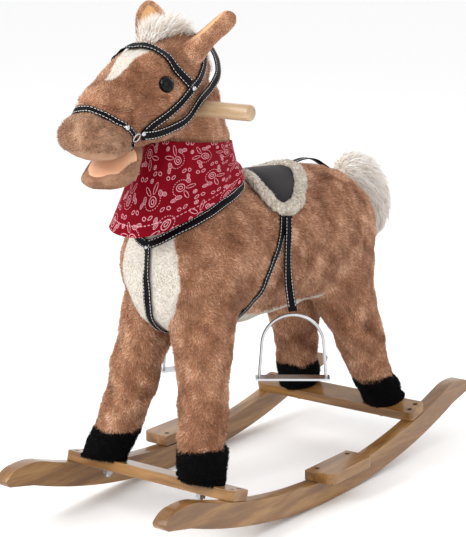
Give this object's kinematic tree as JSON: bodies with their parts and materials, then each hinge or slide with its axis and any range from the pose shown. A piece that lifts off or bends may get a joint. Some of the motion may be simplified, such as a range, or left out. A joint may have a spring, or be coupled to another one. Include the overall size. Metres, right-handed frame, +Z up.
{
  "type": "rocking horse",
  "caption": "Stuffed plush rocking horse on bow wooden rockers, with handle dowel, bridle, saddle, stirrups, neck scarf, wagging tail and hinged lower jaw.",
  "frame": {"origin": "on the floor under the middle of the rockers", "axes": "+Z up; the horse faces -Y, along its rockers; +X is the horse's left"},
  "size_m": [0.354, 0.797, 0.7193],
  "materials": {
    "varnished_wood": "clear varnish",
    "raw_wood": "sanded, unvarnished",
    "zinc_steel": "zinc plated",
    "tan_plush": "short pile plush",
    "black_plush": "short curly pile",
    "white_fur": "long pile fur",
    "cream_fleece": "curly fleece",
    "mouth_cloth": "smooth brushed cloth",
    "printed_cotton": "printed plain weave cotton",
    "strap_vinyl": "glossy grained vinyl with white stitching",
    "saddle_vinyl": "semi-gloss grained vinyl",
    "inner_plastic": "moulded",
    "eye_plastic": "polished",
    "chrome_metal": "plated"
  },
  "bodies": {
    "root": {"left_rocker": "varnished_wood", "right_rocker": "varnished_wood", "front_cross_slat": "varnished_wood", "rear_cross_slat": "varnished_wood", "left_foot_rest": "varnished_wood", "right_foot_rest": "varnished_wood", "handle_dowel": "varnished_wood", "spine_board": "raw_wood", "front_left_leg_post": "raw_wood", "front_right_leg_post": "raw_wood", "rear_left_leg_post": "raw_wood", "rear_right_leg_post": "raw_wood", "neck_board": "raw_wood", "head_board": "raw_wood", "wood_screws": "zinc_steel", "leg_bolts": "zinc_steel", "leg_bolt_nuts": "zinc_steel", "jaw_pivot_pin": "zinc_steel", "tail_pivot_pin": "zinc_steel", "body_plush": "tan_plush", "head_plush": "tan_plush", "muzzle_plush": "tan_plush", "front_left_leg_plush": "tan_plush", "front_right_leg_plush": "tan_plush", "rear_left_leg_plush": "tan_plush", "rear_right_leg_plush": "tan_plush", "left_ear": "tan_plush", "right_ear": "tan_plush", "front_left_hoof_cuff": "black_plush", "front_right_hoof_cuff": "black_plush", "rear_left_hoof_cuff": "black_plush", "rear_right_hoof_cuff": "black_plush", "crown_strap": "strap_vinyl", "browband": "strap_vinyl", "noseband": "strap_vinyl", "reins": "strap_vinyl", "girth_strap": "strap_vinyl", "breast_strap": "strap_vinyl", "crupper_strap": "strap_vinyl", "sound_box": "inner_plastic", "sound_box_cover": "inner_plastic", "speaker": "inner_plastic", "ear_button_housing": "inner_plastic", "mane": "white_fur", "eyes": "eye_plastic", "bit_rings": "chrome_metal", "tack_rivets": "chrome_metal", "saddle_seat": "saddle_vinyl", "saddle_fleece": "cream_fleece", "bandana": "printed_cotton"},
    "lower_jaw": {"lower_jaw_plush": "tan_plush", "mouth_lining": "mouth_cloth", "jaw_plate": "inner_plastic"},
    "tail": {"tail_hair": "white_fur", "tail_core": "inner_plastic"},
    "left_strap": {"left_stirrup_strap": "strap_vinyl"},
    "right_strap": {"right_stirrup_strap": "strap_vinyl"},
    "left_stirrup": {"left_stirrup": "chrome_metal"},
    "right_stirrup": {"right_stirrup": "chrome_metal"},
    "ear_button": {"ear_button": "inner_plastic"}
  },
  "joints": [
    {"name": "jaw_hinge", "type": "hinge", "parent": "root", "child": "lower_jaw", "pos_m": [0, -0.298, 0.548], "axis": [1, 0, 0], "range_deg": [-7, 4]},
    {"name": "tail_wag", "type": "hinge", "parent": "root", "child": "tail", "pos_m": [0, 0.186, 0.418], "axis": [0, 0, 1], "range_deg": [-18, 18]},
    {"name": "left_strap_swing", "type": "hinge", "parent": "root", "child": "left_strap", "pos_m": [0.097, -0.048, 0.424], "axis": [0, -1, 0], "range_deg": [0, 30]},
    {"name": "right_strap_swing", "type": "hinge", "parent": "root", "child": "right_strap", "pos_m": [-0.097, -0.03, 0.424], "axis": [0, 1, 0], "range_deg": [0, 30]},
    {"name": "left_stirrup_pivot", "type": "hinge", "parent": "left_strap", "child": "left_stirrup", "pos_m": [0.122, -0.073, 0.288], "axis": [0.809, 0.5878, 0], "range_deg": [-30, 30]},
    {"name": "right_stirrup_pivot", "type": "hinge", "parent": "right_strap", "child": "right_stirrup", "pos_m": [-0.106, -0.012, 0.252], "axis": [0.5299, 0.848, 0], "range_deg": [-30, 30]},
    {"name": "ear_button_press", "type": "slide", "parent": "root", "child": "ear_button", "axis": [0.2933, 0.5624, -0.7731], "range_m": [0, 0.0015], "stiffness_N_per_m": 600, "springref_m": -0.0005}
  ]
}
